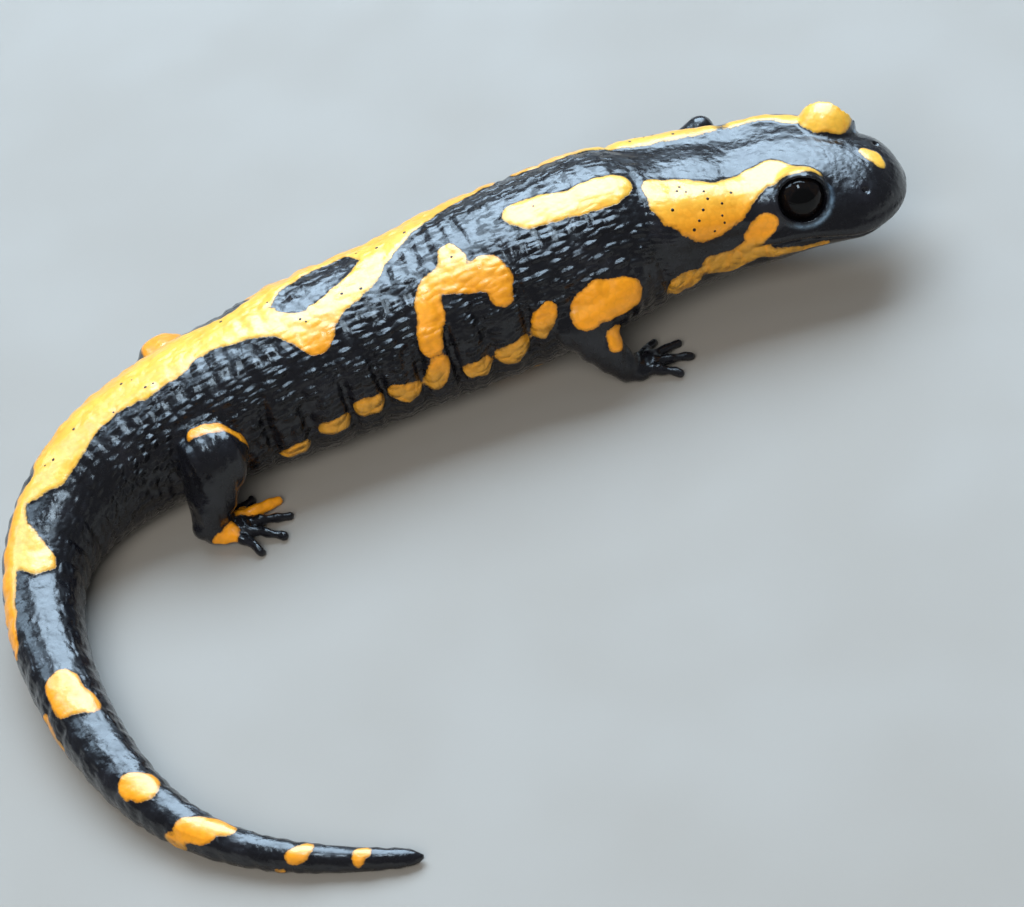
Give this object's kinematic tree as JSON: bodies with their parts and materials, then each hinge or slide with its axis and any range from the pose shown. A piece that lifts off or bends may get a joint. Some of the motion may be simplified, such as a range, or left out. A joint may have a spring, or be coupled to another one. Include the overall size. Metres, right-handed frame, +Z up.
{
  "type": "fire salamander",
  "caption": "Life-size still fire salamander, walking with its head turned aside and its tail curled round on the ground.",
  "frame": {"origin": "on the floor, under the middle of the whole model's box", "axes": "+X the way the trunk faces, +Y towards the animal's left side, +Z up"},
  "size_m": [0.106, 0.0884, 0.0192],
  "materials": {
    "skin": "moist glossy black skin with bright yellow to orange bands and blotches",
    "eye": "wet, almost black eye"
  },
  "bodies": {
    "root": {"head": "skin", "eye_right": "eye", "eye_left": "eye", "neck": "skin", "torso": "skin", "tail_base": "skin", "tail_middle": "skin", "tail_tip": "skin", "front_leg_right_upper": "skin", "front_leg_right_lower": "skin", "front_leg_right_foot": "skin", "front_leg_left_upper": "skin", "front_leg_left_lower": "skin", "front_leg_left_foot": "skin", "hind_leg_right_upper": "skin", "hind_leg_right_lower": "skin", "hind_leg_right_foot": "skin", "hind_leg_left_upper": "skin", "hind_leg_left_lower": "skin", "hind_leg_left_foot": "skin"}
  },
  "joints": []
}
